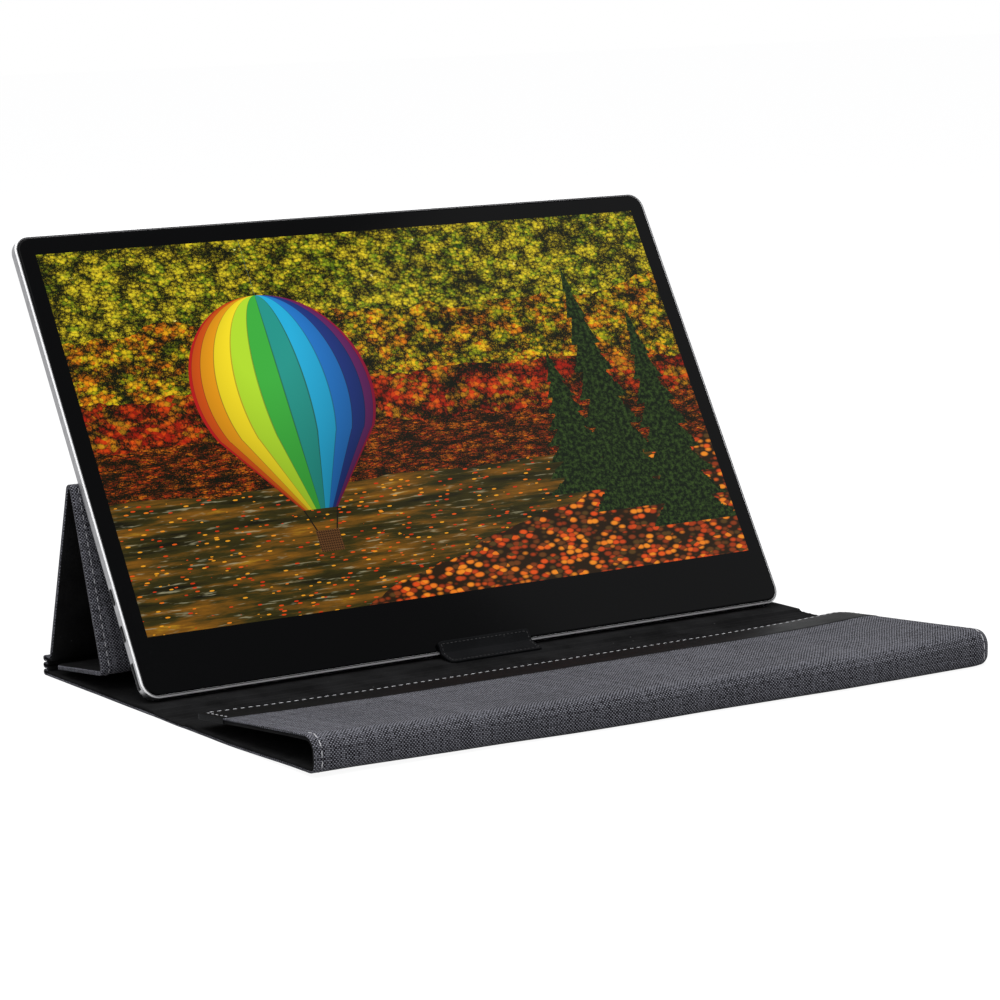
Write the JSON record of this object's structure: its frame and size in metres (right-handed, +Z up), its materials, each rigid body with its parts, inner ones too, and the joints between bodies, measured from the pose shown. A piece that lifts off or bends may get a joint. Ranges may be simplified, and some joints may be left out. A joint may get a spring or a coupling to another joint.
{
  "type": "portable monitor with cover",
  "caption": "Flat portable monitor that stands in a folding fabric cover, whose panels form a tent behind it and a closing flap in front.",
  "frame": {"origin": "on the table under the middle of the cover's base panel", "axes": "+X along the cover's width to the viewer's right, the screen faces -Y, +Z up"},
  "size_m": [0.3694, 0.2738, 0.2045],
  "materials": {
    "woven_fabric": "woven, heathered",
    "lining_suede": "napped, matte",
    "board": "grey board, matte",
    "smooth_leather": "fine grain, semi matte",
    "magnet": "nickel plated",
    "glass": "polished, black printed behind",
    "silver_aluminium": "fine blasted, bright cut bevel",
    "black_foam": "matte",
    "lcd": "smooth",
    "white_tray": "satin",
    "circuit_board": "solder mask, satin",
    "tinned_steel": "tinned",
    "flex": "polyimide film"
  },
  "bodies": {
    "base": {"base_fabric": "woven_fabric", "base_board": "board", "base_lining": "lining_suede", "base_magnets": "magnet", "tab_foot_leaf": "smooth_leather"},
    "front_panel": {"front_fabric": "woven_fabric", "front_board": "board", "front_lining": "lining_suede", "front_magnets": "magnet"},
    "nose": {"nose_fabric": "woven_fabric", "nose_lining": "lining_suede"},
    "closing_flap": {"flap_fabric": "woven_fabric", "flap_board": "board", "flap_lining": "lining_suede", "flap_strip": "smooth_leather", "flap_magnets": "magnet"},
    "rear_stand": {"spine_fabric": "woven_fabric", "spine_lining": "lining_suede", "rear_fabric": "woven_fabric", "rear_board": "board", "rear_lining": "lining_suede"},
    "prop": {"prop_fabric": "woven_fabric", "prop_board": "board", "prop_lining": "lining_suede"},
    "foot_flap": {"foot_fabric": "woven_fabric", "foot_board": "board", "foot_lining": "lining_suede", "foot_magnets": "magnet"},
    "stop_tab": {"tab_lip": "smooth_leather"},
    "monitor": {"cover_glass": "glass", "glass_tape": "black_foam", "lcd_panel": "lcd", "backlight": "white_tray", "silver_frame": "silver_aluminium", "rear_cover": "silver_aluminium", "main_board": "circuit_board", "shield_can": "tinned_steel", "driver_board": "circuit_board", "panel_cables": "flex", "usb_c_sockets": "tinned_steel", "mini_hdmi_socket": "tinned_steel", "headphone_jack": "black_foam", "speakers": "black_foam", "board_screws": "tinned_steel", "button_board": "circuit_board"},
    "power_key": {"power_button": "silver_aluminium"},
    "menu_key": {"menu_rocker": "silver_aluminium"}
  },
  "joints": [
    {"name": "front_panel_fold", "type": "hinge", "parent": "base", "child": "front_panel", "pos_m": [0, -0.0665, 0.0013], "axis": [-1, 0, 0], "range_deg": [0, 100]},
    {"name": "nose_fold", "type": "hinge", "parent": "front_panel", "child": "nose", "pos_m": [0, -0.18875, 0.00135], "axis": [1, 0, 0], "range_deg": [0, 90]},
    {"name": "flap_fold", "type": "hinge", "parent": "nose", "child": "closing_flap", "pos_m": [0, -0.18797, 0.01325], "axis": [1, 0, 0], "range_deg": [0, 90]},
    {"name": "stand_fold", "type": "hinge", "parent": "base", "child": "rear_stand", "pos_m": [0, 0.05518, 0.00152], "axis": [-1, 0, 0], "range_deg": [0, 108]},
    {"name": "prop_fold", "type": "hinge", "parent": "rear_stand", "child": "prop", "pos_m": [0, 0.02326, 0.095], "axis": [-1, 0, 0], "range_deg": [-1, 5.5]},
    {"name": "foot_flap_fold", "type": "hinge", "parent": "prop", "child": "foot_flap", "pos_m": [0, -0.00145, 0.01265], "axis": [1, 0, 0], "range_deg": [0, 60]},
    {"name": "tab_lip_fold", "type": "hinge", "parent": "base", "child": "stop_tab", "pos_m": [0, -0.04234, 0.00536], "axis": [1, 0, 0], "range_deg": [0, 90]},
    {"name": "monitor_lift", "type": "slide", "parent": "base", "child": "monitor", "axis": [0, 0.512, 0.859], "range_m": [0, 0.24]},
    {"name": "power_button_press", "type": "slide", "parent": "monitor", "child": "power_key", "axis": [-1, 0, 0], "range_m": [0, 0.0004], "stiffness_N_per_m": 400},
    {"name": "menu_rocker_tilt", "type": "hinge", "parent": "monitor", "child": "menu_key", "pos_m": [0.18085, -0.00849, 0.05131], "axis": [0, -0.859, 0.512], "range_deg": [-2, 2], "stiffness_Nm_per_rad": 0.05}
  ]
}
